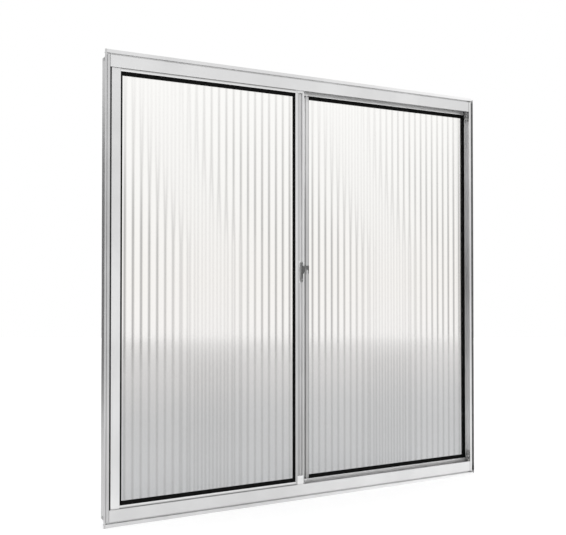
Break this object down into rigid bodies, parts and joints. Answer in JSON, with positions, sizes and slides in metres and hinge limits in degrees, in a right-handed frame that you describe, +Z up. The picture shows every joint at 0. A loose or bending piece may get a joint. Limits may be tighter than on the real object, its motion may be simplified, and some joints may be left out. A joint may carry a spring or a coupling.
{
  "type": "sliding aluminium window with one fixed pane",
  "caption": "Aluminium window for a wall opening: a sliding leaf in the front track and a fixed fluted glass pane behind it, with black rubber glazing and a small latch.",
  "frame": {"origin": "middle of the sill's underside, half way through the frame's depth", "axes": "+X along the window to the right as seen from the front, +Y from the front face to the back, +Z up"},
  "size_m": [0.9939, 0.0409, 1],
  "materials": {
    "aluminium": "satin, natural anodised",
    "rubber": "matte black",
    "fluted_glass": "clear, ribbed on the front",
    "brush_pile": "grey pile",
    "nylon": "matte",
    "cap_plastic": "matte pale",
    "latch_metal": "dark satin"
  },
  "bodies": {
    "root": {"fixed_gasket_bottom": "rubber", "fixed_gasket_left": "rubber", "fixed_gasket_right": "rubber", "fixed_gasket_top": "rubber", "fixed_glass": "fluted_glass", "frame_head": "aluminium", "frame_jamb_left": "aluminium", "frame_jamb_right": "aluminium", "frame_mullion": "aluminium", "frame_sill": "aluminium", "latch_body": "latch_metal", "latch_keeper": "latch_metal", "latch_lever": "latch_metal", "leaf_bottom_rail": "aluminium", "leaf_brush_bottom": "brush_pile", "leaf_brush_meeting": "brush_pile", "leaf_brush_outer": "brush_pile", "leaf_brush_top": "brush_pile", "leaf_cap_bottom": "cap_plastic", "leaf_cap_top": "cap_plastic", "leaf_gasket_bottom": "rubber", "leaf_gasket_left": "rubber", "leaf_gasket_right": "rubber", "leaf_gasket_top": "rubber", "leaf_glass": "fluted_glass", "leaf_guide_left": "nylon", "leaf_guide_right": "nylon", "leaf_meeting_stile": "aluminium", "leaf_outer_stile": "aluminium", "leaf_roller_left": "nylon", "leaf_roller_right": "nylon", "leaf_top_rail": "aluminium", "leaf_wheel_left": "nylon", "leaf_wheel_right": "nylon", "stop_bottom": "rubber", "stop_top": "rubber"}
  },
  "joints": []
}
